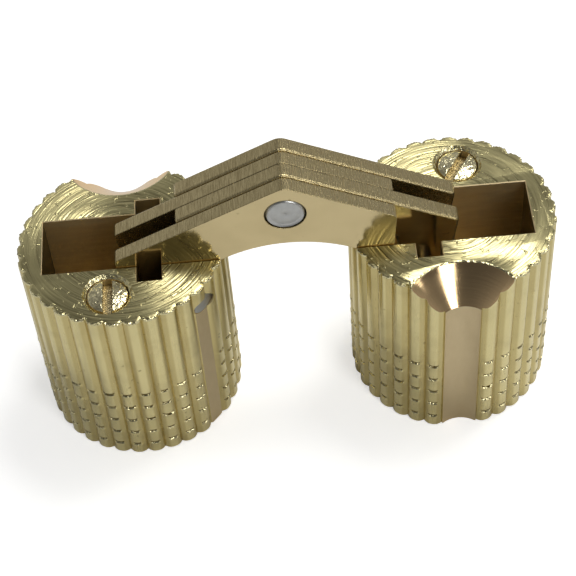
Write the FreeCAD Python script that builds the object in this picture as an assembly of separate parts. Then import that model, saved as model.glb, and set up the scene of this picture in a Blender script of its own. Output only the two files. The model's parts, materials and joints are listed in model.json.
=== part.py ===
import FreeCAD, Part
import math
import os

# Invisible barrel hinge, fully open. X runs along the slots and Z up; the flat barrel ends stand on Z = 0.
# The right half is the left half turned by half a turn about Z, so every piece is drawn once.

# Barrels
barrel_diameter = 18.0
barrel_height = 19.4
axis_spacing = 28.4
reed_count = 34
reed_depth = 0.33

# Link plates and their stack
plate_count = 4
plate_thickness = 1.4
plate_gap = 0.05
peak_height = 8.27
top_slope = math.radians(27.0)
shoulder_reach = 9.25
short_leg_radius = 1.35
arch_height = 1.37
arch_radius = 11.5
tip_reach = 14.7
hip_reach = 9.2
hip_depth = 0.2
long_leg_radius = 1.9
peak_rounding = 1.2
corner_rounding = 0.4
hip_rounding = 0.8

# Pivots: a wall is measured in from the barrel's crest line, an inset from its axis towards the other barrel,
# and a depth down from its face
pivot_pin_diameter = 1.6
pivot_pin_edge = 0.35
pivot_wall = 2.3
pivot_depth = 2.4
guide_pin_diameter = 1.5
guide_inset = 2.35
guide_pin_depth = 6.3
rivet_diameter = 3.4
rivet_height = 5.0
rivet_edge = 0.15
closed_gap = 3.0

# Slot and guide groove
slot_outer_wall = 2.25
slot_inner_wall = 3.6
guide_width = 2.14
guide_length = 9.04
mouth_depth = 1.0

# Round-bottomed screw channel with its countersink
channel_radius = 2.45
channel_outset = 1.5
countersink_radius = 5.2
countersink_depth = 2.7

# Locking screw
screw_diameter = 3.6
screw_length = 4.5
screw_inset = -1.2
screw_wall = 3.4
screw_sink = 0.2
screw_edge = 0.3
screw_slot_width = 0.75
screw_slot_depth = 0.9
screw_slot_turn = 90.0
right_screw_slot_turn = 58.0
bore_edge = 0.3

# Clearances
seat_clearance = 0.02
running_clearance = 0.05
pin_room = 0.3
pocket_room = 0.4
leg_room = 1.5

# Places that follow from the sizes above
half_spacing = axis_spacing / 2
crest_radius = barrel_diameter / 2
valley_radius = crest_radius - reed_depth
reed_angle = 2 * math.pi / reed_count
face_z = barrel_height
plate_pitch = plate_thickness + plate_gap
stack_width = plate_count * plate_thickness + (plate_count - 1) * plate_gap
slot_width = stack_width + 2 * plate_gap
pivot_inset = crest_radius - pivot_wall
pivot_x = half_spacing - pivot_inset
pivot_z = face_z - pivot_depth
guide_x = half_spacing - guide_inset
guide_z = face_z - guide_pin_depth
rivet_z = face_z + rivet_height
screw_offset = crest_radius - screw_wall
channel_offset = crest_radius + channel_outset

# Fold: the short leg turns about the pivot pin until both faces are closed_gap apart
pivot_reach = math.hypot(pivot_x, rivet_height + pivot_depth)
open_angle = math.atan2(rivet_height + pivot_depth, pivot_x)
closed_angle = math.pi - math.asin((pivot_depth + closed_gap / 2) / pivot_reach)
short_leg_turn = closed_angle - open_angle
long_leg_turn = math.pi - short_leg_turn
fold_steps = 24


def vector(x, y, z):
    return FreeCAD.Vector(x, y, z)


def half_chord(inset):
    """Half the barrel's width across the slot, at an inset from its axis."""
    return math.sqrt(crest_radius ** 2 - inset ** 2)


# The pivot pin's front end lies in the wall, chamfered to stay inside it, and its back end in a blind hole
pin_wall = half_chord(pivot_inset + pivot_pin_diameter / 2)
pin_front = pin_wall + pivot_pin_edge - seat_clearance
pin_back = pin_wall - pin_room


def guide_pin_path():
    """Inset and depth of a guide pin in its barrel, from open to closed."""
    long_leg_reach = math.hypot(guide_x, rivet_height + guide_pin_depth)
    long_leg_angle = math.pi + math.atan2(rivet_height + guide_pin_depth, guide_x)
    path = []
    for step in range(fold_steps + 1):
        share = step / fold_steps
        short_angle = open_angle + share * short_leg_turn
        long_angle = long_leg_angle + share * long_leg_turn
        inset = pivot_inset + pivot_reach * math.cos(short_angle) + long_leg_reach * math.cos(long_angle)
        height = pivot_reach * math.sin(short_angle) + long_leg_reach * math.sin(long_angle) - pivot_depth
        path.append((inset, -height))
    return path


def box(x_range, y_range, z_range):
    sizes = [high - low for low, high in (x_range, y_range, z_range)]
    return Part.makeBox(*sizes, vector(x_range[0], y_range[0], z_range[0]))


def cross_pin(diameter, length, x, z):
    """Round bar along Y, centred on Y = 0."""
    return Part.makeCylinder(diameter / 2, length, vector(x, -length / 2, z), vector(0, 1, 0))


def half_turn(shape):
    """Copy of a left piece, placed as the right one."""
    turned = shape.copy()
    turned.rotate(vector(0, 0, 0), vector(0, 0, 1), 180)
    return turned


def round_corner(plate, x, z, radius):
    """Round the plate's edge along Y at one corner of its outline."""
    near = 1e-3
    edges = []
    for edge in plate.Edges:
        ends = [vertex.Point for vertex in edge.Vertexes]
        if all(math.hypot(end.x - x, end.z - z) < near for end in ends):
            edges.append(edge)
    return plate.makeFillet(radius, edges)


def reeded_blank():
    """Barrel blank about its own axis, with convex reeds that meet in sharp valleys."""

    def rim_point(radius, turns):
        angle = turns * reed_angle
        return vector(radius * math.cos(angle), radius * math.sin(angle), 0)

    reeds = []
    for reed in range(reed_count):
        start = rim_point(valley_radius, reed - 0.5)
        crest = rim_point(crest_radius, reed)
        end = rim_point(valley_radius, reed + 0.5)
        reeds.append(Part.Arc(start, crest, end).toShape())
    return Part.Face(Part.Wire(reeds)).extrude(vector(0, 0, barrel_height))


def slot_cuts():
    """Pocket for the long legs, step for the short legs, mouth in the inner wall, and guide groove."""
    path = guide_pin_path()
    insets = [inset for inset, depth in path]
    last_depth = path[-1][1]
    pin_radius = guide_pin_diameter / 2
    half_slot = (-slot_width / 2, slot_width / 2)
    half_guide = (-guide_length / 2, guide_length / 2)
    pocket_floor = face_z - last_depth - long_leg_radius - pocket_room
    step_floor = pivot_z - short_leg_radius - leg_room
    groove_floor = face_z - last_depth - pin_radius - pin_room
    groove_side = guide_width / 2
    room_side = pin_radius + pin_room
    room_top = guide_z + room_side
    outer_end = slot_outer_wall - crest_radius
    inner_end = crest_radius - slot_inner_wall
    step_end = pivot_inset + short_leg_radius + running_clearance
    pocket = box((outer_end, inner_end), half_slot, (pocket_floor, face_z))
    step = box((inner_end, step_end), half_slot, (step_floor, face_z))
    mouth = box((step_end, barrel_diameter), half_slot, (face_z - mouth_depth, face_z))
    groove = box((guide_inset - groove_side, guide_inset + groove_side), half_guide, (groove_floor, face_z))
    room = box((min(insets) - room_side, max(insets) + room_side), half_guide, (groove_floor, room_top))
    return [pocket, step, mouth, groove, room]


def pivot_cuts():
    """Blind hole for the pivot pin, open at the front, and the flat below it where one reed is cut away."""
    hole = Part.makeCylinder(
        pivot_pin_diameter / 2 + seat_clearance, crest_radius + pin_back + seat_clearance,
        vector(pivot_inset, -crest_radius, pivot_z), vector(0, 1, 0))
    pin_turn = math.atan2(half_chord(pivot_inset), pivot_inset)
    reed_turn = reed_angle * round(pin_turn / reed_angle)
    half_reed = valley_radius * math.sin(reed_angle / 2)
    flat = box((valley_radius, barrel_diameter), (-half_reed, half_reed), (0, pivot_z))
    flat.rotate(vector(0, 0, 0), vector(0, 0, 1), -math.degrees(reed_turn))
    return [hole, flat]


def screw_cuts():
    """Countersunk round-bottomed channel at the back, and the locking screw's bore at the front."""
    channel = Part.makeCylinder(channel_radius, barrel_height, vector(0, channel_offset, 0))
    countersink = Part.makeCone(
        channel_radius, countersink_radius, countersink_depth,
        vector(0, channel_offset, face_z - countersink_depth))
    bore_radius = screw_diameter / 2 + running_clearance
    bore_depth = screw_sink + screw_length + running_clearance
    bore = Part.makeCylinder(bore_radius, bore_depth, vector(screw_inset, -screw_offset, face_z - bore_depth))
    bore_rim = Part.makeCone(
        bore_radius, bore_radius + bore_edge, bore_edge,
        vector(screw_inset, -screw_offset, face_z - bore_edge))
    return [channel, countersink, bore, bore_rim]


def left_barrel():
    barrel = reeded_blank().cut(slot_cuts() + pivot_cuts() + screw_cuts())
    barrel.translate(vector(-half_spacing, 0, 0))
    return barrel


def left_locking_screw(slot_turn):
    """Slotted grub screw, turned about its own axis so that its slot lies slot_turn degrees from X."""
    radius = screw_diameter / 2
    top = face_z - screw_sink
    shank = Part.makeCylinder(radius, screw_length, vector(0, 0, top - screw_length))
    rims = [edge for edge in shank.Edges if edge.Closed]
    shank = shank.makeChamfer(screw_edge, rims)
    half_slot = screw_slot_width / 2
    slot = box((-screw_diameter, screw_diameter), (-half_slot, half_slot), (top - screw_slot_depth, face_z))
    screw = shank.cut(slot)
    screw.rotate(vector(0, 0, 0), vector(0, 0, 1), slot_turn)
    screw.translate(vector(screw_inset - half_spacing, -screw_offset, 0))
    return screw


def link_outline():
    """Closed outline of a right link plate in the XZ plane: short leg right, hooked long leg left."""
    peak = vector(0, 0, face_z + peak_height)
    arch_end = pivot_x - short_leg_radius
    arch_centre_z = face_z + arch_height - arch_radius
    arch_end_z = arch_centre_z + math.sqrt(arch_radius ** 2 - arch_end ** 2)
    fall = math.tan(top_slope)
    shoulder = vector(shoulder_reach, 0, peak.z - fall * shoulder_reach)
    short_outside = vector(pivot_x + short_leg_radius, 0, pivot_z)
    short_bottom = vector(pivot_x, 0, pivot_z - short_leg_radius)
    short_inside = vector(arch_end, 0, pivot_z)
    arch_right = vector(arch_end, 0, arch_end_z)
    arch_top = vector(0, 0, face_z + arch_height)
    arch_left = vector(-arch_end, 0, arch_end_z)
    hip = vector(-hip_reach, 0, face_z - hip_depth)
    long_inside = vector(long_leg_radius - guide_x, 0, guide_z)
    long_bottom = vector(-guide_x, 0, guide_z - long_leg_radius)
    long_outside = vector(-long_leg_radius - guide_x, 0, guide_z)
    tip = vector(-tip_reach, 0, peak.z - fall * tip_reach)
    pieces = [
        Part.LineSegment(peak, shoulder),
        Part.LineSegment(shoulder, short_outside),
        Part.Arc(short_outside, short_bottom, short_inside),
        Part.LineSegment(short_inside, arch_right),
        Part.Arc(arch_right, arch_top, arch_left),
        Part.LineSegment(arch_left, hip),
        Part.LineSegment(hip, long_inside),
        Part.Arc(long_inside, long_bottom, long_outside),
        Part.LineSegment(long_outside, tip),
        Part.LineSegment(tip, peak),
    ]
    roundings = [
        (peak, peak_rounding),
        (shoulder, corner_rounding),
        (tip, corner_rounding),
        (hip, hip_rounding),
    ]
    return Part.Wire([piece.toShape() for piece in pieces]), roundings


def link_plate(front_y, rivet_clearance):
    """Right link plate whose front face is at front_y, with holes for pivot pin, rivet and guide pin."""
    outline, roundings = link_outline()
    plate = Part.Face(outline).extrude(vector(0, plate_thickness, 0))
    for corner, radius in roundings:
        plate = round_corner(plate, corner.x, corner.z, radius)
    plate.translate(vector(0, front_y, 0))
    pivot_hole = cross_pin(pivot_pin_diameter + 2 * running_clearance, barrel_diameter, pivot_x, pivot_z)
    rivet_hole = cross_pin(rivet_diameter + 2 * rivet_clearance, barrel_diameter, 0, rivet_z)
    guide_hole = cross_pin(guide_pin_diameter + 2 * seat_clearance, barrel_diameter, -guide_x, guide_z)
    return plate.cut([pivot_hole, rivet_hole, guide_hole])


def centre_rivet():
    """Flush rivet through all four plates."""
    rivet = cross_pin(rivet_diameter, stack_width, 0, rivet_z)
    rims = [edge for edge in rivet.Edges if edge.Closed]
    return rivet.makeChamfer(rivet_edge, rims)


def left_pivot_pin():
    """Pivot pin with chamfered ends, from the blind end of its hole to the wall at the front."""
    pin = Part.makeCylinder(
        pivot_pin_diameter / 2, pin_front + pin_back, vector(-pivot_x, -pin_front, pivot_z), vector(0, 1, 0))
    rims = [edge for edge in pin.Edges if edge.Closed]
    return pin.makeChamfer(pivot_pin_edge, rims)


def save(name, shape):
    shape.exportStep(os.path.join("parts", name + ".step"))


os.makedirs("parts", exist_ok=True)

barrel = left_barrel()
save("left_barrel", barrel)
save("right_barrel", half_turn(barrel))

pivot_pin = left_pivot_pin()
save("left_pivot_pin", pivot_pin)
save("right_pivot_pin", half_turn(pivot_pin))

guide_pin = cross_pin(guide_pin_diameter, guide_length - 2 * pin_room, -guide_x, guide_z)
save("left_guide_pin", guide_pin)
save("right_guide_pin", half_turn(guide_pin))

save("left_locking_screw", left_locking_screw(screw_slot_turn))
save("right_locking_screw", half_turn(left_locking_screw(right_screw_slot_turn)))

# From front to back the plates of the two links lie in turn: right, left, right, left
front_y = -stack_width / 2
inner_y = front_y + 2 * plate_pitch
save("right_link_front_plate", link_plate(front_y, running_clearance))
save("right_link_back_plate", link_plate(inner_y, running_clearance))
save("left_link_back_plate", half_turn(link_plate(front_y, seat_clearance)))
save("left_link_front_plate", half_turn(link_plate(inner_y, seat_clearance)))

save("centre_rivet", centre_rivet())
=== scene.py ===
import json
import math
import random

import bmesh
import bpy
from bpy.props import FloatProperty, FloatVectorProperty, IntProperty, PointerProperty
from mathutils import Matrix, Vector


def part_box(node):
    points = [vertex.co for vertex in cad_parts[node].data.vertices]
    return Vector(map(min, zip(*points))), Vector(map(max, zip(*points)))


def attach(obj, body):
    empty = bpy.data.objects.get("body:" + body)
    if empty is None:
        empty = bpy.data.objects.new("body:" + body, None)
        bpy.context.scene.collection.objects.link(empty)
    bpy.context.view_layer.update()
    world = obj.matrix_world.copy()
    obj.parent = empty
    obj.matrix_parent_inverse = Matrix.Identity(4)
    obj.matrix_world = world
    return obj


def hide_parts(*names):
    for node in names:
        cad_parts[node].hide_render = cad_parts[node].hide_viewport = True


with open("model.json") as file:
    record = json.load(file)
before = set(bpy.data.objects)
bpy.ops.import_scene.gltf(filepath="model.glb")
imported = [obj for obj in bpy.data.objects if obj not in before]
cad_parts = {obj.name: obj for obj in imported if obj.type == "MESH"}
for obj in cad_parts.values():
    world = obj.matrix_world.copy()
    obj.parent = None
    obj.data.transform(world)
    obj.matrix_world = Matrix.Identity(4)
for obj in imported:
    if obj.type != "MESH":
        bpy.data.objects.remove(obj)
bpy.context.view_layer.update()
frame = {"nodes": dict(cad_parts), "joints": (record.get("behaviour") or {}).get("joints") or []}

bl_info = {
    "name": "Invisible Barrel Hinge",
    "version": (1, 0, 0),
    "blender": (4, 5, 0),
    "location": "3D View > Sidebar > Hinge",
    "description": "Reeded brass barrels, link plates, rivet, pins and locking screws on a studio stage",
    "category": "Object",
}

MM = 0.001
SEED = 34  # For the uneven nicks and rims
JOINTS = {joint["name"]: joint for joint in frame["joints"]}

# Places read from the frame, in metres
BARREL_LOW, BARREL_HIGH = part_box("left_barrel")
CREST_RADIUS = (BARREL_HIGH.x - BARREL_LOW.x) / 2
HALF_SPACING = -(BARREL_LOW.x + BARREL_HIGH.x) / 2
FACE_Z = BARREL_HIGH.z
PIVOT = Vector(JOINTS["right_pivot"]["pos_m"])
RIVET = Vector(JOINTS["link_cross"]["pos_m"])
PIN_LOW, PIN_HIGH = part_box("left_pivot_pin")
GUIDE_LOW, GUIDE_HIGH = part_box("right_guide_pin")
SCREW_LOW, SCREW_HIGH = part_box("left_locking_screw")
RIVET_LOW, RIVET_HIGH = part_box("centre_rivet")
PIN_RADIUS = (PIN_HIGH.z - PIN_LOW.z) / 2
GUIDE = (GUIDE_LOW + GUIDE_HIGH) / 2
GUIDE_RADIUS = (GUIDE_HIGH.z - GUIDE_LOW.z) / 2
RIVET_RADIUS = (RIVET_HIGH.z - RIVET_LOW.z) / 2
SCREW_RADIUS = (SCREW_HIGH.x - SCREW_LOW.x) / 2
SCREW_X = (SCREW_LOW.x + SCREW_HIGH.x) / 2 + HALF_SPACING
SCREW_Y = (SCREW_LOW.y + SCREW_HIGH.y) / 2


def length_property(name, description, millimetres):
    return FloatProperty(name=name, description=description, default=millimetres * MM, unit="LENGTH",
                         precision=5)


def share_property(name, description, share):
    return FloatProperty(name=name, description=description, default=share, min=0.0, max=1.0,
                         subtype="FACTOR")


def angle_property(name, description, degrees):
    return FloatProperty(name=name, description=description, default=math.radians(degrees),
                         subtype="ANGLE")


def colour_property(name, description, colour):
    return FloatVectorProperty(name=name, description=description, default=colour, size=3,
                               subtype="COLOR", min=0.0, max=1.0)


class HINGE_PG_barrel(bpy.types.PropertyGroup):
    reed_count: IntProperty(name="Reeds", description="Reeds round a barrel", default=34, min=8)
    reed_depth: length_property("Reed depth", "Height of a reed from valley to crest", 0.33)
    crest_share: share_property("Crest share", "Share of a reed's width that its flat crest takes", 0.15)
    nick_count: IntProperty(name="Nicks", description="Rings of nicks across the reeds", default=5, min=0)
    nick_first: length_property("First nick", "Depth of the highest ring of nicks below the face", 10.3)
    nick_pitch: length_property("Nick pitch", "Distance between two rings of nicks", 1.88)
    nick_depth: length_property("Nick depth", "Depth of a nick into the crest", 0.12)
    nick_width: length_property("Nick width", "Height of a nick at the crest", 0.28)
    nick_lip: length_property("Nick lip", "Height of the lip raised below a nick", 0.04)
    nick_bow: length_property("Nick bow", "How far a nick's ends lie above its middle", 0.25)
    nick_shift: length_property("Nick shift", "How far a nick strays from its ring", 0.12)
    rim_edge: length_property("Rim edge", "Width of the broken edge round the face", 0.13)
    rim_burr: length_property("Rim burr", "How uneven the broken edge is", 0.08)
    slot_width: length_property("Slot width", "Width of the slot for the links", 5.85)
    slot_outer_wall: length_property("Outer wall", "Wall between the slot and the outer side", 2.25)
    slot_inner_wall: length_property("Inner wall", "Wall between the pocket and the inner side", 3.6)
    pocket_depth: length_property("Pocket depth", "Depth of the slot for the long legs", 16.19)
    step_depth: length_property("Step depth", "Depth of the slot for the short legs", 5.25)
    step_wall: length_property("Step wall", "Wall between that step and the inner side", 0.9)
    mouth_depth: length_property("Mouth depth", "Depth of the mouth in the inner wall", 1.0)
    guide_width: length_property("Guide width", "Width of the guide groove", 2.14)
    guide_length: length_property("Guide length", "Length of the guide groove across the slot", 9.04)
    guide_depth: length_property("Guide depth", "Depth of the guide groove", 14.94)
    room_depth: length_property("Room depth", "Depth at which the guide groove widens for the pin", 5.25)
    room_reach: length_property("Room reach", "How far it widens away from the other barrel", 2.64)
    room_return: length_property("Room return", "How far it widens towards the other barrel", 1.21)
    slot_edge: length_property("Slot edge", "Width of the broken edge round slot and groove", 0.07)
    channel_radius: length_property("Screw channel", "Radius of the wood screw channel", 2.45)
    channel_outset: length_property("Channel outset", "How far its axis lies outside the crests", 1.5)
    countersink_radius: length_property("Countersink", "Radius of the countersink at the face", 5.2)
    countersink_depth: length_property("Countersink depth", "Depth of the countersink", 2.7)
    bore_edge: length_property("Bore edge", "Width of the broken edge round the screw's bore", 0.3)
    clearance: length_property("Clearance", "Gap round the pins and the locking screw", 0.05)


class HINGE_PG_links(bpy.types.PropertyGroup):
    peak_height: length_property("Peak height", "Height of the plates' peak above the barrel faces", 8.27)
    top_slope: angle_property("Top slope", "Slope of the plates' upper edges", 27.0)
    shoulder_reach: length_property("Shoulder reach", "Short leg's corner from the plate's middle", 9.25)
    short_leg_radius: length_property("Short leg", "Radius of the short leg's round end", 1.35)
    arch_height: length_property("Arch height", "Height of the underside's arch above the faces", 1.37)
    arch_radius: length_property("Arch radius", "Radius of the underside's arch", 11.5)
    tip_reach: length_property("Tip reach", "Long leg's tip from the plate's middle", 14.7)
    hip_reach: length_property("Hip reach", "Long leg's inner corner from the plate's middle", 9.2)
    hip_depth: length_property("Hip depth", "Depth of that corner below the faces", 0.2)
    long_leg_radius: length_property("Long leg", "Radius of the long leg's round end", 1.9)
    peak_rounding: length_property("Peak rounding", "Radius of the rounded peak", 1.2)
    corner_rounding: length_property("Corner rounding", "Radius of the outer corners", 0.4)
    hip_rounding: length_property("Hip rounding", "Radius of the long leg's inner corner", 0.8)
    rolled_edge: length_property("Rolled edge", "Width of the edge that stamping rolled over", 0.24)
    sharp_share: share_property("Sharp edge", "Width of the other face's edges, as a share of it", 0.2)
    hole_clearance: length_property("Hole clearance", "Gap round the rivet and the pins", 0.05)


class HINGE_PG_fittings(bpy.types.PropertyGroup):
    rivet_edge: length_property("Rivet edge", "Width of the rivet's broken edge", 0.15)
    rivet_ring: length_property("Rivet ring", "Width of the ring pressed into the rivet's end", 0.3)
    rivet_dish: length_property("Rivet dish", "Depth of that ring", 0.1)
    screw_edge: length_property("Screw edge", "Width of the locking screw's broken edge", 0.3)
    screw_slot_width: length_property("Screw slot", "Width of the driver slot", 0.75)
    screw_slot_depth: length_property("Screw slot depth", "Depth of the driver slot", 0.9)
    left_slot_turn: angle_property("Left slot", "Direction of the left screw's slot", 90.0)
    right_slot_turn: angle_property("Right slot", "Direction of the right screw's slot", 58.0)
    pin_edge: length_property("Pin edge", "Width of the pivot pins' chamfers", 0.35)


class HINGE_PG_finish(bpy.types.PropertyGroup):
    reed_brass: colour_property("Reeds", "Bright brass of the reeds", (0.765, 0.67, 0.345))
    # Valleys: darker brass, painted shade in the valleys between the reeds; the countersinks' streaks use
    # it too
    valley_shade_and_streak_brass: colour_property("Valleys", "Duller brass between the reeds", (0.61, 0.51, 0.235))
    face_brass: colour_property("Faces", "Turned brass of the barrel faces", (0.64, 0.57, 0.29))
    # Nicks: very dark brass, painted shade in the nicks and on the slots' end walls
    nick_and_end_shade: colour_property("Nicks", "Dull brass of nicks and slot ends", (0.21, 0.155, 0.055))
    slot_brass: colour_property("Slots", "Brass inside the slots", (1.0, 0.82, 0.49))
    channel_brass: colour_property("Channels", "Reamed brass of the screw channels", (0.69, 0.565, 0.35))
    bored_brass: colour_property("Countersinks", "Bright brass of the countersinks", (0.95, 0.67, 0.36))
    plate_brass: colour_property("Plates", "Polished brass of the plates", (0.67, 0.55, 0.305))
    sawn_brass: colour_property("Plate edges", "Sawn brass of plate edges and slots", (0.58, 0.48, 0.26))
    grub_screw_brass: colour_property("Screws", "Brass of the locking screws", (0.76, 0.69, 0.43))
    tarnish: colour_property("Tarnish", "Tarnished brass", (0.20, 0.14, 0.05))
    steel: colour_property("Steel", "Steel of rivet and pins", (0.61, 0.615, 0.60))
    floor: colour_property("Floor", "Pale floor", (0.92, 0.92, 0.91))


class HINGE_PG_settings(bpy.types.PropertyGroup):
    barrel: PointerProperty(type=HINGE_PG_barrel)
    links: PointerProperty(type=HINGE_PG_links)
    fittings: PointerProperty(type=HINGE_PG_fittings)
    finish: PointerProperty(type=HINGE_PG_finish)


# Shader helpers

NOISE_SPAN = (0.3, 0.7)  # Where most values of a noise lie
RING_SPAN = (0.35, 0.65)  # The same for the turning marks


def feed(tree, socket, value):
    """Link the socket to another node's output, or set its value."""
    if isinstance(value, bpy.types.NodeSocket):
        tree.links.new(value, socket)
    else:
        socket.default_value = value


def feed_named(tree, node, values):
    """Feed a node's inputs by their names, written in lower case and with underscores."""
    for name, value in values.items():
        feed(tree, node.inputs[name.replace("_", " ").title()], value)


def add_node(tree, kind, settings=None, **values):
    """New node with its settings, and its inputs fed by name."""
    node = tree.nodes.new(kind)
    for name, value in (settings or {}).items():
        setattr(node, name, value)
    feed_named(tree, node, values)
    return node


def maths(tree, operation, first, second=0.0):
    node = add_node(tree, "ShaderNodeMath", {"operation": operation})
    feed(tree, node.inputs[0], first)
    feed(tree, node.inputs[1], second)
    return node.outputs[0]


def vector_maths(tree, operation, first, second=(0.0, 0.0, 0.0)):
    node = add_node(tree, "ShaderNodeVectorMath", {"operation": operation})
    feed(tree, node.inputs[0], first)
    feed(tree, node.inputs[1], second)
    return node.outputs["Value" if operation == "LENGTH" else "Vector"]


def off_axis(tree, place):
    """The place without its height, seen from the piece's Z axis."""
    return vector_maths(tree, "MULTIPLY", place, (1.0, 1.0, 0.0))


def between(tree, value, source, target):
    """Value moved from one range to another, clamped."""
    node = tree.nodes.new("ShaderNodeMapRange")
    for socket, number in zip(node.inputs, (value, *source, *target)):
        feed(tree, socket, number)
    return node.outputs[0]


def noise(tree, place, scale, detail, roughness=0.5):
    node = add_node(tree, "ShaderNodeTexNoise", vector=place, scale=scale, detail=detail,
                    roughness=roughness)
    return node.outputs[0]


def mix_colours(tree, share, first, second):
    """Two colours mixed by share. Each is three values or another node's output."""
    node = add_node(tree, "ShaderNodeMix", {"data_type": "RGBA"})
    feed(tree, node.inputs[0], share)
    colour_inputs = [socket for socket in node.inputs if socket.type == "RGBA"]
    for socket, colour in zip(colour_inputs, (first, second)):
        linked = isinstance(colour, bpy.types.NodeSocket)
        feed(tree, socket, colour if linked else (*colour, 1.0))
    return next(socket for socket in node.outputs if socket.type == "RGBA")


# Effects that several finishes share

def new_group(name, inputs, outputs):
    """Empty shader node group with its sockets, and its input and output nodes."""
    group = bpy.data.node_groups.new(name, "ShaderNodeTree")
    for socket_name, socket_type, default in inputs:
        socket = group.interface.new_socket(name=socket_name, in_out="INPUT", socket_type=socket_type)
        if default is not None:
            socket.default_value = default
    for socket_name in outputs:
        group.interface.new_socket(name=socket_name, in_out="OUTPUT", socket_type="NodeSocketFloat")
    return group, group.nodes.new("NodeGroupInput"), group.nodes.new("NodeGroupOutput")


def give_marks(group, result, place, detail, roughness, broad_scale):
    """Height from fine noise, and shade from the mean of fine and broad noise."""
    fine = noise(group, place, 1.0, detail, roughness)
    broad = noise(group, place, broad_scale, 2.0)
    group.links.new(fine, result.inputs["Height"])
    mean = maths(group, "MULTIPLY", maths(group, "ADD", fine, broad), 0.5)
    group.links.new(mean, result.inputs["Shade"])


def turning_marks(name):
    """Rings that a lathe tool left round the piece's Z axis, uneven along each ring."""
    group, source, result = new_group(
        name,
        [("Vector", "NodeSocketVector", None), ("Rings", "NodeSocketFloat", 4000.0),
         ("Breaks", "NodeSocketFloat", 2.5)],
        ["Height", "Shade"])
    flat = off_axis(group, source.outputs["Vector"])
    reach = vector_maths(group, "LENGTH", flat)
    direction = vector_maths(group, "NORMALIZE", flat)
    parts = add_node(group, "ShaderNodeSeparateXYZ", vector=direction)
    ring = maths(group, "MULTIPLY", reach, source.outputs["Rings"])
    along_x = maths(group, "MULTIPLY", parts.outputs["X"], source.outputs["Breaks"])
    along_y = maths(group, "MULTIPLY", parts.outputs["Y"], source.outputs["Breaks"])
    place = add_node(group, "ShaderNodeCombineXYZ", x=ring, y=along_x, z=along_y)
    give_marks(group, result, place.outputs[0], detail=1.0, roughness=0.5, broad_scale=0.31)
    return group


def streaks(name):
    """Fine straight streaks, such as a saw, a reamer or a polishing wheel leaves."""
    group, source, result = new_group(
        name,
        [("Vector", "NodeSocketVector", None), ("Density", "NodeSocketVector", (1.0, 1.0, 1.0))],
        ["Height", "Shade"])
    place = vector_maths(group, "MULTIPLY", source.outputs["Vector"], source.outputs["Density"])
    give_marks(group, result, place, detail=3.0, roughness=0.65, broad_scale=0.22)
    return group


def tarnish(name):
    """Soft patches and small specks where the metal has dulled, as a mask."""
    group, source, result = new_group(
        name,
        [("Vector", "NodeSocketVector", None), ("Patches", "NodeSocketFloat", 300.0),
         ("Specks", "NodeSocketFloat", 2500.0)],
        ["Mask"])
    patch = noise(group, source.outputs["Vector"], source.outputs["Patches"], 3.0, 0.55)
    speck = noise(group, source.outputs["Vector"], source.outputs["Specks"], 1.0)
    patches = between(group, patch, (0.48, 0.75), (0.0, 0.45))
    specks = between(group, speck, (0.72, 0.78), (0.0, 1.0))
    group.links.new(maths(group, "MAXIMUM", patches, specks), result.inputs["Mask"])
    return group


EFFECTS = {"Turning marks": turning_marks, "Streaks": streaks, "Tarnish": tarnish}


# Finishes

class Surface:
    """A new material: its node tree, its shader and its piece's own coordinates."""

    def __init__(self, name, metallic=1.0):
        material = bpy.data.materials.new(name)
        material.use_nodes = True
        self.tree = material.node_tree
        self.shader = self.tree.nodes["Principled BSDF"]
        self.place = self.tree.nodes.new("ShaderNodeTexCoord").outputs["Object"]
        self.set(metallic=metallic)

    def set(self, **values):
        """Feed the shader's inputs by name."""
        feed_named(self.tree, self.shader, values)

    def effect(self, name, **values):
        """Outputs of a shared effect, which is made when it is first asked for."""
        group = bpy.data.node_groups.get(name) or EFFECTS[name](name)
        node = add_node(self.tree, "ShaderNodeGroup", {"node_tree": group}, vector=self.place, **values)
        return node.outputs

    def dulled(self, share, patches, specks):
        """Mask of the tarnish, which hides up to that share of the clean metal."""
        mask = self.effect("Tarnish", patches=patches, specks=specks)["Mask"]
        return maths(self.tree, "MULTIPLY", mask, share)

    def dents(self, scale, span, height):
        """Height of small dents, where a noise rises through the span."""
        return between(self.tree, noise(self.tree, self.place, scale, 1.0), span, (0.0, height))

    def bump(self, height, depth, strength=1.0):
        bump = add_node(self.tree, "ShaderNodeBump", strength=strength, distance=depth, height=height)
        self.set(normal=bump.outputs[0])

    def colour(self, share, first, second):
        """Base colour, mixed from two by share."""
        self.set(base_color=mix_colours(self.tree, share, first, second))

    def streak(self, density, roughness, depth, strength=1.0):
        """Lay streaks with that range of roughness, and give their shade."""
        marks = self.effect("Streaks", density=density)
        self.set(roughness=between(self.tree, marks["Shade"], NOISE_SPAN, roughness))
        self.bump(marks["Height"], depth, strength)
        return marks["Shade"]

    def turn(self, rings, breaks, roughness, dents, depth):
        """Lay turning marks with that range of roughness and dents among them, and give their height."""
        marks = self.effect("Turning marks", rings=rings, breaks=breaks)
        self.set(roughness=between(self.tree, marks["Shade"], RING_SPAN, roughness))
        self.bump(maths(self.tree, "ADD", marks["Height"], dents), depth)
        return marks["Height"]


def reed_brass(name, settings):
    """Streaked metal of the reeds, darker in the valleys between them as painted shade."""
    finish = settings.finish
    metal = Surface(name)
    tree = metal.tree
    depth = settings.barrel.reed_depth
    # Painted shade: the colour darkens towards the foot of each valley
    valley_edge = (CREST_RADIUS - 0.36 * depth, CREST_RADIUS - 0.2 * depth)
    reach = vector_maths(tree, "LENGTH", off_axis(tree, metal.place))
    valley = between(tree, reach, valley_edge, (1.0, 0.0))
    clean = mix_colours(tree, valley, finish.reed_brass, finish.valley_shade_and_streak_brass)
    dull = metal.dulled(share=0.45, patches=350.0, specks=2200.0)
    metal.colour(dull, clean, finish.tarnish)
    metal.streak(density=(900.0, 900.0, 60.0), roughness=(0.2, 0.36), depth=0.02 * MM, strength=0.5)


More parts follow.
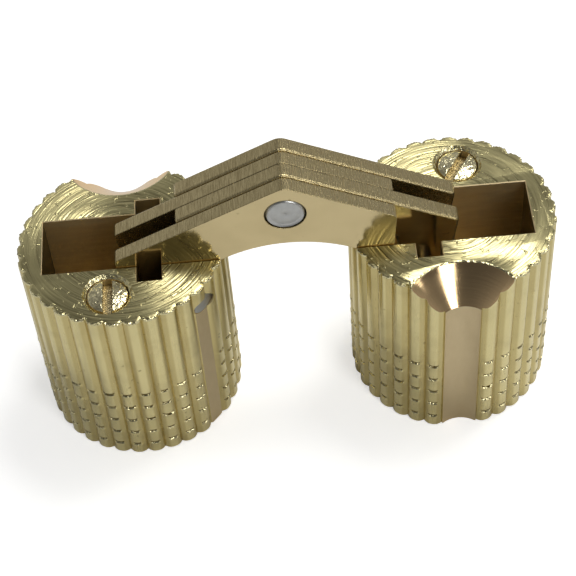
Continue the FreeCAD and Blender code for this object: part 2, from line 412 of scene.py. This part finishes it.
def faced_brass(name, settings):
    """Turned metal of the barrels' faces, which spreads highlights across its rings, with painted shade
    in their grooves.
    """
    finish = settings.finish
    metal = Surface(name)
    tree = metal.tree
    tangent = add_node(tree, "ShaderNodeTangent", {"direction_type": "RADIAL", "axis": "Z"})
    metal.set(anisotropic=0.8, anisotropic_rotation=0.25, tangent=tangent.outputs[0])
    dents = metal.dents(scale=2300.0, span=(0.66, 0.74), height=0.7)
    height = metal.turn(rings=5600.0, breaks=1.8, roughness=(0.24, 0.4), dents=dents, depth=0.09 * MM)
    # Painted shade: darker colour in the low parts of the turning marks, added to the tarnish
    groove_shade = between(tree, height, (0.28, 0.42), (0.35, 0.0))
    dull = maths(tree, "MAXIMUM", metal.dulled(share=0.4, patches=260.0, specks=1900.0), groove_shade)
    metal.colour(dull, finish.face_brass, finish.tarnish)


def slot_brass(name, settings):
    finish = settings.finish
    metal = Surface(name)
    shade = metal.streak(density=(250.0, 250.0, 2600.0), roughness=(0.4, 0.6), depth=0.03 * MM)
    dull = between(metal.tree, shade, NOISE_SPAN, (0.0, 0.25))
    metal.colour(dull, finish.slot_brass, finish.tarnish)


def painted_shade_brass(name, settings):
    """Dark metal in the nicks and on the end walls of the slots: painted shade, with tarnish."""
    finish = settings.finish
    metal = Surface(name)
    dull = metal.dulled(share=1.0, patches=900.0, specks=3000.0)
    metal.colour(dull, finish.nick_and_end_shade, finish.tarnish)
    metal.set(roughness=0.4)


def burred_brass(name, settings):
    """Bright torn metal of rims and cut edges, and of the lips below the nicks."""
    finish = settings.finish
    metal = Surface(name)
    lumps = noise(metal.tree, metal.place, scale=2800.0, detail=2.0)
    metal.colour(lumps, finish.face_brass, finish.grub_screw_brass)
    metal.set(roughness=0.16)
    metal.bump(lumps, depth=0.2 * MM)


def reamed_brass(name, settings):
    """Satin metal of the wood screw channels and of the flats below the pivot pins."""
    finish = settings.finish
    metal = Surface(name)
    shade = metal.streak(density=(1200.0, 1200.0, 500.0), roughness=(0.36, 0.5), depth=0.015 * MM)
    dull = maths(metal.tree, "MULTIPLY", shade, 0.25)
    metal.colour(dull, finish.channel_brass, finish.tarnish)


def bored_brass(name, settings):
    """Bright turned metal of the countersinks."""
    finish = settings.finish
    metal = Surface(name)
    shade = metal.streak(density=(120.0, 120.0, 5200.0), roughness=(0.09, 0.18), depth=0.008 * MM)
    dull = maths(metal.tree, "MULTIPLY", shade, 0.1)
    metal.colour(dull, finish.bored_brass, finish.valley_shade_and_streak_brass)


def polished_brass(name, settings):
    """Bright metal of the plates' outer faces."""
    finish = settings.finish
    metal = Surface(name)
    metal.streak(density=(500.0, 500.0, 90.0), roughness=(0.09, 0.17), depth=0.004 * MM)
    dull = metal.dulled(share=0.4, patches=150.0, specks=1100.0)
    metal.colour(dull, finish.plate_brass, finish.tarnish)


def sawn_brass(name, settings):
    """Metal of the plates' edges and the screws' slots, smooth on its ridges, with painted highlight on
    them and painted shade between them.
    """
    finish = settings.finish
    metal = Surface(name)
    height = metal.effect("Streaks", density=(9000.0, 800.0, 9000.0))["Height"]
    ridge_span = (0.25, 0.6)
    # Painted highlight and shade: lighter on the streaks' ridges, darker in the hollows between them
    painted_ridge_light = between(metal.tree, height, ridge_span, (0.35, 1.0))
    metal.colour(painted_ridge_light, finish.tarnish, finish.sawn_brass)
    metal.set(roughness=between(metal.tree, height, ridge_span, (0.38, 0.22)))
    metal.bump(height, depth=0.04 * MM)


def grub_screw_brass(name, settings):
    finish = settings.finish
    metal = Surface(name)
    dents = metal.dents(scale=2600.0, span=(0.45, 0.7), height=0.5)
    metal.turn(rings=7000.0, breaks=2.0, roughness=(0.16, 0.3), dents=dents, depth=0.05 * MM)
    dull = metal.dulled(share=0.6, patches=900.0, specks=4000.0)
    metal.colour(dull, finish.grub_screw_brass, finish.tarnish)


def ground_steel(name, settings):
    metal = Surface(name)
    steel = settings.finish.steel
    dark_steel = [0.6 * channel for channel in steel]
    shade = metal.streak(density=(2600.0, 200.0, 2600.0), roughness=(0.28, 0.42), depth=0.012 * MM)
    metal.colour(shade, steel, dark_steel)


def pale_floor(name, settings):
    """Floor with a faint grain, which glows for the camera alone, so that its shadows stay pale."""
    surface = Surface(name, metallic=0.0)
    tree = surface.tree
    floor = settings.finish.floor
    shade = [0.985 * channel for channel in floor]
    surface.colour(noise(tree, surface.place, scale=900.0, detail=2.0), floor, shade)
    seen = tree.nodes.new("ShaderNodeLightPath").outputs["Is Camera Ray"]
    black, white = (0.0, 0.0, 0.0), (1.0, 1.0, 1.0)
    glow = mix_colours(tree, seen, black, white)
    surface.set(roughness=0.9, emission_color=glow, emission_strength=0.56)
    surface.shader.inputs["Specular IOR Level"].default_value = 0.1


MAKERS = (reed_brass, faced_brass, burred_brass, painted_shade_brass, slot_brass, reamed_brass, bored_brass,
          polished_brass, sawn_brass, grub_screw_brass, ground_steel, pale_floor)
FINISHES = {maker.__name__: maker for maker in MAKERS}


def finish_named(name):
    """The material of that name, made when it is first asked for."""
    if name not in bpy.data.materials:
        FINISHES[name](name, bpy.context.scene.hinge)
    return bpy.data.materials[name]


# Mesh helpers

def loft(name, sections, materials, face_material=None):
    """Closed object through loops of equal length. face_material(row, column) picks a face's material."""
    count = len(sections[0])
    pick = face_material or (lambda row, column: 0)
    points = [point for section in sections for point in section]
    faces = []
    indices = []
    for row in range(len(sections) - 1):
        for column in range(count):
            after = (column + 1) % count
            lower = row * count
            upper = lower + count
            faces.append((lower + column, lower + after, upper + after, upper + column))
            indices.append(pick(row, column))
    last = len(sections) - 1
    faces.append(tuple(reversed(range(count))))
    faces.append(tuple(range(last * count, last * count + count)))
    indices += [pick(-1, 0), pick(last, 0)]
    mesh = bpy.data.meshes.new(name)
    mesh.from_pydata(points, [], faces)
    for material in materials:
        mesh.materials.append(finish_named(material))
    mesh.polygons.foreach_set("material_index", indices)
    mesh.update()
    piece = bpy.data.objects.new(name, mesh)
    bpy.context.scene.collection.objects.link(piece)
    return piece


def circle(radius, z, centre=(0.0, 0.0), segments=96):
    x, y = centre
    angles = [2 * math.pi * step / segments for step in range(segments)]
    return [Vector((x + radius * math.cos(angle), y + radius * math.sin(angle), z)) for angle in angles]


def rectangle(x_range, y_range, z, grow=0.0):
    low_x, high_x = x_range[0] - grow, x_range[1] + grow
    low_y, high_y = y_range[0] - grow, y_range[1] + grow
    return [Vector((low_x, low_y, z)), Vector((high_x, low_y, z)),
            Vector((high_x, high_y, z)), Vector((low_x, high_y, z))]


def lathe(name, profile, materials, centre=(0.0, 0.0), face_material=None):
    """Turned object about an upright axis, from (radius, height) pairs in rising order."""
    return loft(name, [circle(radius, z, centre) for radius, z in profile], materials, face_material)


def torn_edge(row, column):
    """Second material from the second row of faces on, where a cutter leaves its broken edge."""
    return 1 if row > 0 else 0


def lay_along_y(piece):
    """Turn a piece that was made upright so that its axis runs along Y."""
    piece.data.transform(Matrix.Rotation(math.radians(-90), 4, "X"))
    return piece


def cut(piece, cutters):
    """Take the cutters out of the piece, each leaving its own finish on the faces it makes."""
    for cutter in cutters:
        modifier = piece.modifiers.new(cutter.name, "BOOLEAN")
        modifier.operation = "DIFFERENCE"
        modifier.solver = "EXACT"
        modifier.material_mode = "TRANSFER"
        modifier.object = cutter
    graph = bpy.context.evaluated_depsgraph_get()
    mesh = bpy.data.meshes.new_from_object(piece.evaluated_get(graph))
    piece.modifiers.clear()
    rough = piece.data
    piece.data = mesh
    bpy.data.meshes.remove(rough)
    mesh.name = piece.name
    for cutter in cutters:
        leftover = cutter.data
        bpy.data.objects.remove(cutter)
        bpy.data.meshes.remove(leftover)
    return piece


def smooth(piece, sharp_angle=35.0):
    """Shade a piece smooth, but for the edges that turn by more than that angle."""
    piece.data.shade_smooth()
    piece.data.set_sharp_from_angle(angle=math.radians(sharp_angle))
    return piece


def roll_edges(piece, rolled_y, width, sharp_share):
    """Round a plate's edges as stamping does: rolled over at rolled_y, nearly sharp on the other face."""
    near = 1e-6
    turned_over = math.radians(40.0)
    mesh = bmesh.new()
    mesh.from_mesh(piece.data)
    weight = mesh.edges.layers.float.new("bevel_weight_edge")
    for edge in mesh.edges:
        level = all(abs(vertex.co.y - edge.verts[0].co.y) < near for vertex in edge.verts)
        if level and edge.calc_face_angle(0.0) > turned_over:
            edge[weight] = 1.0 if abs(edge.verts[0].co.y - rolled_y) < near else sharp_share
    mesh.to_mesh(piece.data)
    mesh.free()
    bevel = piece.modifiers.new("rolled_edges", "BEVEL")
    bevel.width = width
    bevel.segments = 3
    bevel.limit_method = "WEIGHT"
    bevel.use_clamp_overlap = False
    bevel.harden_normals = True
    bevel.material = 0
    return piece


def place_piece(piece, node, body):
    """Put a piece where a node was, on that node's body, and hide that node."""
    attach(piece, body)
    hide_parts(node)
    return piece


# Barrel shape, about the barrel's own axis, with X towards the other barrel

def barrel_blank(barrel):
    """Reeded cylinder with rings of nicks and an uneven broken edge."""
    samples = 16
    columns = barrel.reed_count * samples
    chance = random.Random(SEED)
    on_reed, on_face, in_nick, on_burr = range(4)
    # The third finish paints shade into the nicks
    finishes = ["reed_brass", "faced_brass", "painted_shade_brass", "burred_brass"]
    # Lips and bent-out burrs stay inside the CAD crest line
    crest = CREST_RADIUS - 1.3 * barrel.nick_lip
    least_share, middle_share = 0.35, 0.75

    def reed_drop(column):
        across = abs(2 * ((column / samples) % 1.0) - 1)
        flank = max(0.0, (across - barrel.crest_share) / (1 - barrel.crest_share))
        return barrel.reed_depth * flank ** 2

    def ring(z, depth=0.0, lift=0.0, shrink=0.0, burr=0.0, shares=None):
        """Loop at height z. With shares, one for each reed, it belongs to nicks of that depth."""
        points = []
        for column in range(columns):
            angle = 2 * math.pi * (column / samples - 0.5) / barrel.reed_count
            drop = reed_drop(column)
            raised = lift * (1 - drop / barrel.reed_depth)
            height = z + chance.uniform(-burr, 0.0)
            nick = 0.0
            if shares:
                share = shares[column // samples]
                nick = depth * share
                across = 2 * ((column / samples) % 1.0) - 1
                height += barrel.nick_bow * across ** 2 + 2 * barrel.nick_shift * (share - middle_share)
            radius = crest - max(drop, nick) + raised - shrink + chance.uniform(-burr, burr)
            points.append(Vector((radius * math.cos(angle), radius * math.sin(angle), height)))
        return points

    edge = barrel.rim_edge
    half_nick = barrel.nick_width / 2
    lip = barrel.nick_lip
    lip_foot = 8 * lip
    brow = 4 * lip
    rings = [ring(0.0, shrink=2 * edge), ring(0.0, shrink=edge), ring(edge)]
    nicked_rows = {}
    highest_nick = FACE_Z - barrel.nick_first
    nick_heights = [highest_nick - barrel.nick_pitch * step for step in range(barrel.nick_count)]
    for height in sorted(nick_heights):
        shares = [chance.uniform(least_share, 1.0) for reed in range(barrel.reed_count)]
        rings.append(ring(height - half_nick - lip_foot, shares=shares))
        rings.append(ring(height - half_nick - lip, lift=lip, shares=shares))
        lip_row = len(rings) - 1
        nicked_rows[lip_row] = (shares, on_burr)
        nicked_rows[lip_row + 1] = (shares, in_nick)
        nicked_rows[lip_row + 2] = (shares, in_nick)
        rings.append(ring(height - half_nick + lip, barrel.nick_depth, shares=shares))
        rings.append(ring(height + half_nick - lip, barrel.nick_depth, shares=shares))
        rings.append(ring(height + half_nick, shares=shares))
        rings.append(ring(height + half_nick + brow, shares=shares))
    # Steps up to the face: down from it and inwards, in widths of the edge, and the share of the burr
    rim_steps = ((2.0, 0.0, 0.0), (0.3, 0.3, 1.0), (0.1, 1.0, 0.5), (0.0, 2.5, 0.0))
    for down, inward, burr in rim_steps:
        rings.append(ring(FACE_Z - down * edge, shrink=inward * edge, burr=burr * barrel.rim_burr))
    last = len(rings) - 1

    def material_index(row, column):
        """Faces at both ends, torn metal on the rim, and nicks in painted shade where they cut below the
        reed.
        """
        if row in (-1, 0, last - 1, last):
            return on_face
        if row in (last - 3, last - 2):
            return on_burr
        if row in nicked_rows:
            shares, finish = nicked_rows[row]
            drop = max(reed_drop(column), reed_drop(column + 1))
            if drop < barrel.nick_depth * shares[column // samples]:
                return finish
        return on_reed

    return loft("left_barrel_piece", rings, finishes, material_index)


def slot_cutters(barrel):
    """Pocket, step, mouth and guide groove, each with a broken edge, and the guide pin's room."""
    half_slot = (-barrel.slot_width / 2, barrel.slot_width / 2)
    half_guide = (-barrel.guide_length / 2, barrel.guide_length / 2)
    outer_end = barrel.slot_outer_wall - CREST_RADIUS
    inner_end = CREST_RADIUS - barrel.slot_inner_wall
    step_end = CREST_RADIUS - barrel.step_wall
    guide_inset = HALF_SPACING - GUIDE.x
    groove = (guide_inset - barrel.guide_width / 2, guide_inset + barrel.guide_width / 2)
    room = (guide_inset - barrel.room_reach, guide_inset + barrel.room_return)
    overlap = 0.02 * MM
    edge = barrel.slot_edge

    def flared(name, x_range, y_range, depth):
        levels = [(FACE_Z - depth, 0.0), (FACE_Z - edge, 0.0), (FACE_Z + edge, 2 * edge)]
        sections = [rectangle(x_range, y_range, z, grow) for z, grow in levels]
        # The slot's end walls get painted shade
        return loft(name, sections, ["slot_brass", "painted_shade_brass"], painted_shade_ends)

    def painted_shade_ends(row, column):
        """Second material, painted shade, on the two walls across the slot."""
        return 1 if row == 0 and column % 2 else 0

    room_levels = (FACE_Z - barrel.guide_depth, FACE_Z - barrel.room_depth)
    return [
        flared("pocket", (outer_end, inner_end), half_slot, barrel.pocket_depth),
        flared("step", (inner_end - overlap, step_end), half_slot, barrel.step_depth),
        flared("mouth", (step_end - overlap, 2 * CREST_RADIUS), half_slot, barrel.mouth_depth),
        flared("groove", groove, half_guide, barrel.guide_depth),
        loft("room", [rectangle(room, half_guide, z) for z in room_levels], ["slot_brass"]),
    ]


def pin_cutters(barrel):
    """Blind hole of the pivot pin, open at the front, and the flat where a reed is cut away below it."""
    inset = HALF_SPACING - PIVOT.x
    radius = PIN_RADIUS + barrel.clearance
    profile = [(radius, -2 * CREST_RADIUS), (radius, PIN_HIGH.y + barrel.clearance)]
    hole = lay_along_y(lathe("pin_hole", profile, ["slot_brass"]))
    hole.data.transform(Matrix.Translation((inset, 0.0, PIVOT.z)))
    valley = CREST_RADIUS - barrel.reed_depth
    reed_angle = 2 * math.pi / barrel.reed_count
    half_reed = valley * math.sin(reed_angle / 2)
    pin_turn = math.acos(inset / CREST_RADIUS)
    outwards = (valley, 2 * CREST_RADIUS)
    sections = [rectangle(outwards, (-half_reed, half_reed), z) for z in (-FACE_Z, PIVOT.z)]
    flat = loft("pin_flat", sections, ["reamed_brass"])
    flat.data.transform(Matrix.Rotation(-reed_angle * round(pin_turn / reed_angle), 4, "Z"))
    return [hole, flat]


def screw_cutters(barrel):
    """Wood screw channel with its countersink at the back, and the locking screw's bore at the front."""
    centre = (0.0, CREST_RADIUS + barrel.channel_outset)
    edge = barrel.slot_edge
    above = 0.5 * MM
    channel = lathe("channel", [(barrel.channel_radius, -CREST_RADIUS), (barrel.channel_radius, FACE_Z)],
                    ["reamed_brass"], centre)
    cone = lathe("countersink", [
        (barrel.channel_radius, FACE_Z - barrel.countersink_depth),
        (barrel.countersink_radius - edge, FACE_Z - edge),
        (barrel.countersink_radius + 3 * edge, FACE_Z + edge)],
        ["bored_brass", "burred_brass"], centre, torn_edge)
    bore_radius = SCREW_RADIUS + barrel.clearance
    bore = lathe("bore", [
        (bore_radius, SCREW_LOW.z), (bore_radius, FACE_Z - barrel.bore_edge),
        (bore_radius + barrel.bore_edge + above, FACE_Z + above)],
        ["slot_brass", "burred_brass"], (SCREW_X, SCREW_Y), torn_edge)
    return [channel, cone, bore]


# Link plate shape, drawn as the right link: short leg right, hooked long leg left

def arc(centre, radius, start, turn, steps=24):
    """Points on an arc in the XZ plane, as (x, z)."""
    x, z = centre
    angles = [start + turn * step / steps for step in range(steps + 1)]
    return [(x + radius * math.cos(angle), z + radius * math.sin(angle)) for angle in angles]


def rounded(before, corner, after, radius, steps=7):
    """Points of the arc that rounds a corner between two straight edges."""
    back = (Vector(before) - Vector(corner)).normalized()
    on = (Vector(after) - Vector(corner)).normalized()
    half = back.angle(on) / 2
    centre = Vector(corner) + (back + on).normalized() * radius / math.sin(half)
    start = Vector(corner) + back * radius / math.tan(half) - centre
    end = Vector(corner) + on * radius / math.tan(half) - centre
    first = math.atan2(start.y, start.x)
    turn = (math.atan2(end.y, end.x) - first + math.pi) % (2 * math.pi) - math.pi
    return arc(centre, radius, first, turn, steps)


def plate_outline(links):
    """Outline of a plate, clockwise from its peak, as (x, z)."""
    fall = math.tan(links.top_slope)
    peak = (0.0, FACE_Z + links.peak_height)
    shoulder = (links.shoulder_reach, peak[1] - fall * links.shoulder_reach)
    tip = (-links.tip_reach, peak[1] - fall * links.tip_reach)
    hip = (-links.hip_reach, FACE_Z - links.hip_depth)
    half_arch = math.asin((PIVOT.x - links.short_leg_radius) / links.arch_radius)
    arch_centre = (0.0, FACE_Z + links.arch_height - links.arch_radius)
    arch = arc(arch_centre, links.arch_radius, math.pi / 2 - half_arch, 2 * half_arch, steps=40)
    leg_inside = (links.long_leg_radius - GUIDE.x, GUIDE.z)
    leg_outside = (-links.long_leg_radius - GUIDE.x, GUIDE.z)
    leg_start = (PIVOT.x + links.short_leg_radius, PIVOT.z)
    return [
        *rounded(tip, peak, shoulder, links.peak_rounding),
        *rounded(peak, shoulder, leg_start, links.corner_rounding),
        *arc((PIVOT.x, PIVOT.z), links.short_leg_radius, 0.0, -math.pi),
        *arch,
        *rounded(arch[-1], hip, leg_inside, links.hip_rounding),
        *arc((-GUIDE.x, GUIDE.z), links.long_leg_radius, 0.0, -math.pi),
        *rounded(leg_outside, tip, peak, links.corner_rounding),
    ]


def link_plate(name, links, low_y, high_y, turned):
    """One stamped plate with its three holes. A turned plate belongs to the left link."""
    outline = plate_outline(links)
    side = -1.0 if turned else 1.0
    ends = (low_y, high_y) if turned else (high_y, low_y)
    sections = [[Vector((side * x, y, z)) for x, z in outline] for y in ends]
    middle = (low_y + high_y) / 2

    def outer_face(row, column):
        """Second material on the face that looks out of the stack."""
        y = ends[0] if row < 0 else ends[1]
        return 1 if row != 0 and abs(y) > abs(middle) else 0

    plate = loft(name, sections, ["sawn_brass", "polished_brass"], outer_face)
    places = (
        (side * PIVOT.x, PIVOT.z, PIN_RADIUS),
        (0.0, RIVET.z, RIVET_RADIUS),
        (-side * GUIDE.x, GUIDE.z, GUIDE_RADIUS),
    )
    holes = []
    for x, z, radius in places:
        reach = radius + links.hole_clearance
        hole = lay_along_y(lathe("hole", [(reach, -CREST_RADIUS), (reach, CREST_RADIUS)], ["sawn_brass"]))
        hole.data.transform(Matrix.Translation((x, 0.0, z)))
        holes.append(hole)
    smooth(cut(plate, holes))
    return roll_edges(plate, low_y if turned else high_y, links.rolled_edge, links.sharp_share)


class HINGE_OT_barrels(bpy.types.Operator):
    """Make both reeded barrels"""
    bl_idname = "hinge.barrels"
    bl_label = "Barrels"

    def execute(self, context):
        barrel = context.scene.hinge.barrel
        cutters = slot_cutters(barrel) + pin_cutters(barrel) + screw_cutters(barrel)
        left = smooth(cut(barrel_blank(barrel), cutters))
        left.location.x = -HALF_SPACING
        right = bpy.data.objects.new("right_barrel_piece", left.data.copy())
        context.scene.collection.objects.link(right)
        right.location.x = HALF_SPACING
        right.rotation_euler.z = math.pi
        place_piece(left, "left_barrel", "left_barrel")
        place_piece(right, "right_barrel", "right_barrel")
        return {"FINISHED"}


class HINGE_OT_links(bpy.types.Operator):
    """Make the four link plates"""
    bl_idname = "hinge.links"
    bl_label = "Link plates"

    def execute(self, context):
        for body in ("left_link", "right_link"):
            for place in ("front", "back"):
                node = f"{body}_{place}_plate"
                low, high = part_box(node)
                turned = body == "left_link"
                plate = link_plate(node + "_piece", context.scene.hinge.links, low.y, high.y, turned)
                place_piece(plate, node, body)
        return {"FINISHED"}


class HINGE_OT_rivet(bpy.types.Operator):
    """Make the rivet that the links cross on"""
    bl_idname = "hinge.rivet"
    bl_label = "Centre rivet"

    def execute(self, context):
        fittings = context.scene.hinge.fittings
        half = (RIVET_HIGH.y - RIVET_LOW.y) / 2
        ring = RIVET_RADIUS - fittings.rivet_edge
        inner = ring - fittings.rivet_ring
        dish = fittings.rivet_dish
        small_pit = [(0.04 * inner, half - 0.6 * dish), (0.12 * inner, half - 0.1 * dish)]
        pressed_ring = [(0.8 * inner, half), (inner, half - dish), (0.5 * (inner + ring), half - dish)]
        broken_edge = [(ring, half), (RIVET_RADIUS, half - fittings.rivet_edge)]
        one_end = small_pit + pressed_ring + broken_edge
        profile = [(radius, -height) for radius, height in one_end] + list(reversed(one_end))
        rivet = lay_along_y(lathe("centre_rivet_piece", profile, ["ground_steel"]))
        smooth(rivet, sharp_angle=50.0)
        rivet.location = RIVET
        place_piece(rivet, "centre_rivet", "left_link")
        return {"FINISHED"}


class HINGE_OT_pins(bpy.types.Operator):
    """Make the pivot pins and give the guide pins their finish"""
    bl_idname = "hinge.pins"
    bl_label = "Pins"

    def execute(self, context):
        settings = context.scene.hinge
        edge = settings.fittings.pin_edge
        low, high = PIN_LOW.y, PIN_HIGH.y
        inset = HALF_SPACING - PIVOT.x
        valley = CREST_RADIUS - settings.barrel.reed_depth
        front_end = [(share * PIN_RADIUS, low) for share in (0.1, 0.5, 1.0)]
        profile = front_end + [(PIN_RADIUS, high - edge), (PIN_RADIUS - edge, high)]
        for side, x, turn in (("left", -PIVOT.x, 0.0), ("right", PIVOT.x, math.pi)):
            pin = lay_along_y(lathe(f"{side}_pivot_pin_piece", profile, ["ground_steel"]))
            # The front end follows the barrel's round at the foot of the reeds
            for vertex in pin.data.vertices:
                if vertex.co.y < low + edge:
                    vertex.co.y = -math.sqrt(valley ** 2 - (inset + vertex.co.x) ** 2)
            smooth(pin)
            pin.location = (x, 0.0, PIVOT.z)
            pin.rotation_euler.z = turn
            place_piece(pin, f"{side}_pivot_pin", f"{side}_barrel")
            guide = frame["nodes"][f"{side}_guide_pin"]
            guide.material_slots[0].material = finish_named("ground_steel")
        return {"FINISHED"}


class HINGE_OT_screws(bpy.types.Operator):
    """Make the slotted locking screws"""
    bl_idname = "hinge.screws"
    bl_label = "Locking screws"

    def execute(self, context):
        fittings = context.scene.hinge.fittings
        length = SCREW_HIGH.z - SCREW_LOW.z
        edge = fittings.screw_edge
        lower_end = [(SCREW_RADIUS - edge, -length), (SCREW_RADIUS, edge - length)]
        rounded_top = [(SCREW_RADIUS, -edge), (SCREW_RADIUS - 0.4 * edge, -0.25 * edge),
                       (SCREW_RADIUS - edge, 0.0)]
        half_slot = fittings.screw_slot_width / 2
        lip = 0.05 * MM
        levels = [(-fittings.screw_slot_depth, 0.0), (-lip, 0.0), (lip, 2 * lip)]
        ends = (-2 * SCREW_RADIUS, 2 * SCREW_RADIUS)
        sections = [rectangle(ends, (-half_slot, half_slot), z, grow) for z, grow in levels]
        turns = (("left", fittings.left_slot_turn, -1), ("right", fittings.right_slot_turn, 1))
        for side, turn, sign in turns:
            screw = lathe(f"{side}_locking_screw_piece", lower_end + rounded_top, ["grub_screw_brass"])
            slot = loft("slot", sections, ["sawn_brass"])
            smooth(cut(screw, [slot]))
            screw.rotation_euler.z = turn
            screw.location = (sign * (HALF_SPACING - SCREW_X), sign * -SCREW_Y, SCREW_HIGH.z)
            place_piece(screw, f"{side}_locking_screw", f"{side}_screw")
        return {"FINISHED"}


class HINGE_OT_stage(bpy.types.Operator):
    """Make the floor, the lights and the camera"""
    bl_idname = "hinge.stage"
    bl_label = "Studio stage"

    def execute(self, context):
        scene = context.scene
        half_floor = 3.0
        corners = rectangle((-half_floor, half_floor), (-half_floor, half_floor), 0.0)
        mesh = bpy.data.meshes.new("floor")
        mesh.from_pydata(corners, [], [(0, 1, 2, 3)])
        mesh.materials.append(finish_named("pale_floor"))
        floor = bpy.data.objects.new("floor", mesh)
        scene.collection.objects.link(floor)
        self.make_world(scene)
        for name, place, width, height, power in (
                ("key_light", (0.14, 0.13, 0.43), 0.17, 0.17, 1.0),
                ("front_light", (0.235, -0.325, 0.32), 0.15, 0.34, 0.75),
                ("side_light", (0.34, 0.0, 0.325), 0.12, 0.12, 0.08)):
            self.make_light(scene, name, place, width, height, power)
        self.make_camera(scene)
        scene.view_settings.view_transform = "Standard"
        return {"FINISHED"}

    def make_world(self, scene):
        """White world that is brightest behind the object, low down and to the left."""
        world = bpy.data.worlds.new("studio")
        world.use_nodes = True
        tree = world.node_tree
        background = tree.nodes["Background"]
        background.inputs["Color"].default_value = (1.0, 1.0, 1.0, 1.0)
        direction = tree.nodes.new("ShaderNodeTexCoord").outputs["Generated"]
        parts = add_node(tree, "ShaderNodeSeparateXYZ", vector=direction)
        away = between(tree, parts.outputs["Y"], (-0.7, 0.3), (0.42, 1.0))
        low = between(tree, parts.outputs["Z"], (0.35, 0.8), (0.5, 0.13))
        left = between(tree, parts.outputs["X"], (0.15, 0.75), (1.0, 0.7))
        strength = maths(tree, "MULTIPLY", maths(tree, "MULTIPLY", away, low), left)
        tree.links.new(strength, background.inputs["Strength"])
        scene.world = world

    def make_light(self, scene, name, place, width, height, power):
        data = bpy.data.lights.new(name, "AREA")
        data.shape = "RECTANGLE"
        data.size = width
        data.size_y = height
        data.energy = power
        light = bpy.data.objects.new(name, data)
        light.location = place
        aim = Vector((0.0, 0.0, FACE_Z)) - Vector(place)
        light.rotation_euler = aim.to_track_quat("-Z", "Y").to_euler()
        scene.collection.objects.link(light)

    def make_camera(self, scene):
        """Camera at the place and angle that were fitted to the photograph."""
        data = bpy.data.cameras.new("camera")
        data.sensor_width = 36.0
        data.lens = 109.1
        data.clip_start = 0.01
        camera = bpy.data.objects.new("camera", data)
        right = Vector((0.9963, -0.0675, -0.0524))
        up = Vector((0.0854, 0.7834, 0.6156))
        back = right.cross(up)
        turn = Matrix((right, up, back)).transposed().to_4x4()
        place = Vector((-0.36 * MM, -96.36 * MM, FACE_Z + 114.23 * MM))
        camera.matrix_world = Matrix.Translation(place) @ turn
        scene.collection.objects.link(camera)
        scene.camera = camera


OPERATORS = (HINGE_OT_barrels, HINGE_OT_links, HINGE_OT_rivet, HINGE_OT_pins, HINGE_OT_screws,
             HINGE_OT_stage)


class HINGE_PT_panel(bpy.types.Panel):
    """Sizes, colours and steps of the barrel hinge"""
    bl_idname = "HINGE_PT_panel"
    bl_label = "Barrel hinge"
    bl_space_type = "VIEW_3D"
    bl_region_type = "UI"
    bl_category = "Hinge"

    def draw(self, context):
        settings = context.scene.hinge
        for group in (settings.barrel, settings.links, settings.fittings, settings.finish):
            box = self.layout.box()
            for name in group.__annotations__:
                box.prop(group, name)
        for operator in OPERATORS:
            self.layout.operator(operator.bl_idname)


CLASSES = (HINGE_PG_barrel, HINGE_PG_links, HINGE_PG_fittings, HINGE_PG_finish, HINGE_PG_settings,
           *OPERATORS, HINGE_PT_panel)


def register():
    for cls in CLASSES:
        bpy.utils.register_class(cls)
    bpy.types.Scene.hinge = PointerProperty(type=HINGE_PG_settings)


def unregister():
    del bpy.types.Scene.hinge
    for cls in reversed(CLASSES):
        bpy.utils.unregister_class(cls)


def main():
    register()
    bpy.ops.hinge.barrels()
    bpy.ops.hinge.links()
    bpy.ops.hinge.rivet()
    bpy.ops.hinge.pins()
    bpy.ops.hinge.screws()
    bpy.ops.hinge.stage()


if __name__ == "__main__":
    main()
